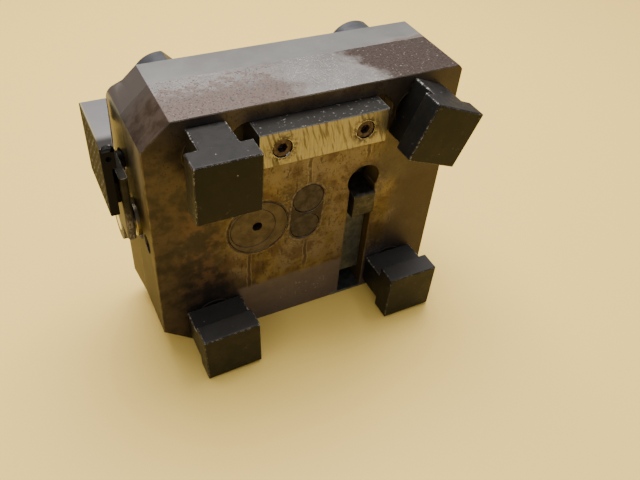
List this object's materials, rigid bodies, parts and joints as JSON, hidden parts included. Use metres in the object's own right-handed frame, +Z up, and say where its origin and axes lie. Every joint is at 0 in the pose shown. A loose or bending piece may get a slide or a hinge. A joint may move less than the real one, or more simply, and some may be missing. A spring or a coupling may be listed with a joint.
{
  "type": "pneumatic gripper",
  "caption": "Heavy steel pneumatic gripper block with turning T-claws, a locating key bar, a stop slide and a knurled jaw pushed out of one end by an air cylinder.",
  "frame": {"origin": "centre of the four tapped holes in the rear face, at the height of the air cylinder's axis", "axes": "+Y points out of the rear face, away from the claws; +X runs along the housing away from the jaw; +Z is up with the block standing on its long side"},
  "size_m": [0.327, 0.179, 0.2633],
  "materials": {
    "housing_steel": "worn ground steel, oil stained, rust patches",
    "black_steel": "black oxide on forged steel, chipped edges, oily",
    "key_steel": "ground and scratched",
    "jaw_steel": "hardened, knurled face, satin",
    "screw_steel": "blackened screws, rusty",
    "plug_steel": "steel under brown dried oil",
    "slide_steel": "dark hardened steel with bright worn ends",
    "bronze": "bearing bronze",
    "rod_chrome": "hard chrome",
    "inner_steel": "turned steel",
    "seal_rubber": "matt"
  },
  "bodies": {
    "housing": {"front_housing": "housing_steel", "rear_housing": "housing_steel", "housing_screws": "screw_steel", "dowel_pins": "inner_steel", "claw_stop_pins": "inner_steel", "key_bar": "key_steel", "key_bar_screws": "screw_steel", "cover_ring": "plug_steel", "cover_plug": "plug_steel", "blanking_plug_upper": "plug_steel", "blanking_plug_lower": "plug_steel", "slide_plunger": "inner_steel", "slot_foot_plate": "slide_steel", "foot_plate_screws": "screw_steel", "cylinder_tube": "inner_steel", "cylinder_gland": "inner_steel", "gland_bush": "bronze", "rod_wiper": "seal_rubber", "rod_seal": "seal_rubber", "gland_ring_seal": "seal_rubber", "cylinder_end_cap": "inner_steel", "end_cap_ring_seal": "seal_rubber", "guide_bush": "bronze", "bush_upper_left": "bronze", "thrust_washer_upper_left": "inner_steel", "bush_upper_right": "bronze", "thrust_washer_upper_right": "inner_steel", "bush_lower_left": "bronze", "thrust_washer_lower_left": "inner_steel", "bush_lower_right": "bronze", "thrust_washer_lower_right": "inner_steel"},
    "jaw": {"gripping_jaw": "jaw_steel", "jaw_carrier": "black_steel", "jaw_screws": "screw_steel", "piston_rod": "rod_chrome", "rod_grub_screw": "screw_steel", "piston": "inner_steel", "piston_nut": "inner_steel", "piston_seals": "seal_rubber", "guide_rod": "rod_chrome"},
    "slide": {"stop_slide": "slide_steel"},
    "upper_left_claw": {"claw_upper_left": "black_steel", "hub_upper_left": "black_steel", "hub_key_upper_left": "inner_steel", "hub_screw_upper_left": "screw_steel"},
    "upper_right_claw": {"claw_upper_right": "black_steel", "hub_upper_right": "black_steel", "hub_key_upper_right": "inner_steel", "hub_screw_upper_right": "screw_steel"},
    "lower_left_claw": {"claw_lower_left": "black_steel", "hub_lower_left": "black_steel", "hub_key_lower_left": "inner_steel", "hub_screw_lower_left": "screw_steel"},
    "lower_right_claw": {"claw_lower_right": "black_steel", "hub_lower_right": "black_steel", "hub_key_lower_right": "inner_steel", "hub_screw_lower_right": "screw_steel"}
  },
  "joints": [
    {"name": "jaw_slide", "type": "slide", "parent": "housing", "child": "jaw", "axis": [-1, 0, 0], "range_m": [0, 0.012]},
    {"name": "stop_slide_travel", "type": "slide", "parent": "housing", "child": "slide", "axis": [0, 0, 1], "range_m": [-0.0205, 0.02]},
    {"name": "upper_left_claw_turn", "type": "hinge", "parent": "housing", "child": "upper_left_claw", "pos_m": [-0.097, 0, 0.096], "axis": [0, 1, 0], "range_deg": [0, 90]},
    {"name": "upper_right_claw_turn", "type": "hinge", "parent": "housing", "child": "upper_right_claw", "pos_m": [0.103, 0, 0.096], "axis": [0, 1, 0], "range_deg": [-22, 68]},
    {"name": "lower_left_claw_turn", "type": "hinge", "parent": "housing", "child": "lower_left_claw", "pos_m": [-0.097, 0, -0.102], "axis": [0, 1, 0], "range_deg": [-87.5, 2.5]},
    {"name": "lower_right_claw_turn", "type": "hinge", "parent": "housing", "child": "lower_right_claw", "pos_m": [0.103, 0, -0.102], "axis": [0, 1, 0], "range_deg": [-90, 0]}
  ]
}
